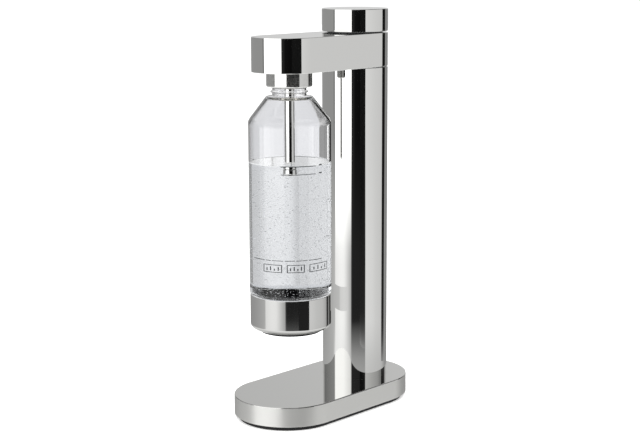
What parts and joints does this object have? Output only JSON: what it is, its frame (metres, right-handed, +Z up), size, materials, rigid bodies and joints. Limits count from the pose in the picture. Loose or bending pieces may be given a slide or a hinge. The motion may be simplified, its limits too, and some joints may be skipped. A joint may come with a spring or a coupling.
{
  "type": "sparkling water maker",
  "caption": "Tall hand-worked sparkling water maker: polished steel column on a flat round-ended base, arm with press cap, and a clear bottle in a steel cup.",
  "frame": {"origin": "on the floor under the middle of the base, midway between its round ends and its long sides", "axes": "+Z up along the column, -Y from the column towards the bottle at the front, +X to the right as seen from the front"},
  "size_m": [0.1116, 0.2176, 0.418],
  "materials": {
    "polished_steel": "mirror-polished stainless steel",
    "satin_steel": "fine satin stainless steel",
    "inner_steel": "plain mill-finished steel",
    "cast_iron": "as cast, machined faces",
    "aluminium": "die cast, bare",
    "brass": "machined, unpolished",
    "spring_steel": "zinc plated",
    "black_rubber": "matt",
    "black_plastic": "fine grained",
    "grey_plastic": "fine grained",
    "silicone": "translucent, matt",
    "clear_plastic": "clear, glossy",
    "cylinder_paint": "semi-gloss paint"
  },
  "bodies": {
    "machine": {"base_shell": "satin_steel", "base_ballast": "cast_iron", "base_foot": "black_rubber", "column_flange": "inner_steel", "base_screw_1": "spring_steel", "base_screw_2": "spring_steel", "base_screw_3": "spring_steel", "base_screw_4": "spring_steel", "base_screw_5": "spring_steel", "base_screw_6": "spring_steel", "base_screw_7": "spring_steel", "column_tube": "polished_steel", "column_head": "aluminium", "arm_shell": "polished_steel", "arm_floor": "inner_steel", "arm_chassis": "aluminium", "head_screw_1": "spring_steel", "head_screw_2": "spring_steel", "head_screw_3": "spring_steel", "arm_screw_1": "spring_steel", "arm_screw_2": "spring_steel", "arm_screw_3": "spring_steel", "arm_screw_4": "spring_steel", "valve_body": "brass", "cylinder_gasket": "silicone", "gas_pipe": "inner_steel", "pipe_nut_rear": "brass", "pipe_nut_front": "brass", "nozzle_block": "brass", "nozzle_screw_1": "spring_steel", "nozzle_screw_2": "spring_steel", "nozzle_screw_3": "spring_steel", "relief_body": "brass", "relief_spring": "spring_steel", "relief_plug": "brass", "gas_tube": "polished_steel", "nozzle_tip": "polished_steel", "bottle_collar": "polished_steel", "collar_insert": "grey_plastic", "cap_guide": "grey_plastic", "guide_screw_1": "spring_steel", "guide_screw_2": "spring_steel", "guide_screw_3": "spring_steel", "cap_spring": "spring_steel"},
    "cap": {"press_cap": "polished_steel", "cap_carrier": "black_plastic", "stem_seal": "silicone"},
    "gas": {"gas_cylinder": "cylinder_paint", "cylinder_valve": "brass"},
    "pin": {"valve_pin": "spring_steel"},
    "hatch": {"hatch_cover": "black_plastic", "hatch_pad": "black_rubber"},
    "seal": {"bottle_seal": "silicone"},
    "bottle": {"bottle_body": "clear_plastic", "bottle_cup": "polished_steel", "cup_liner": "black_plastic", "bottle_foot": "black_rubber"},
    "relief": {"relief_poppet": "black_rubber"}
  },
  "joints": [
    {"name": "cap_press", "type": "slide", "parent": "machine", "child": "cap", "axis": [0, 0, -1], "range_m": [0, 0.0012], "stiffness_N_per_m": 8000, "springref_m": -0.002, "deforming": ["cap_spring"]},
    {"name": "cylinder_unscrew", "type": "hinge", "parent": "machine", "child": "gas", "pos_m": [0, 0.053, 0.0158], "axis": [0, 0, 1], "range_deg": [-360, 0]},
    {"name": "pin_push", "type": "slide", "parent": "gas", "child": "pin", "axis": [0, 0, -1], "range_m": [0, 0.0012]},
    {"name": "hatch_turn", "type": "hinge", "parent": "machine", "child": "hatch", "pos_m": [0, 0.053, 0.001], "axis": [0, 0, 1], "range_deg": [-30, 0]},
    {"name": "bottle_twist", "type": "hinge", "parent": "machine", "child": "seal", "pos_m": [0, -0.048, 0.3521], "axis": [0, 0, 1], "range_deg": [-360, 0]},
    {"name": "bottle_lower", "type": "slide", "parent": "seal", "child": "bottle", "axis": [0, 0, -1], "range_m": [0, 0.0647]},
    {"name": "relief_lift", "type": "slide", "parent": "machine", "child": "relief", "axis": [0, 0, 1], "range_m": [0, 0.001], "stiffness_N_per_m": 2000, "springref_m": -0.003, "deforming": ["relief_spring"]}
  ],
  "couplings": [
    {"joint": "pin_push", "follows": "cap_press", "ratio": 1}
  ]
}
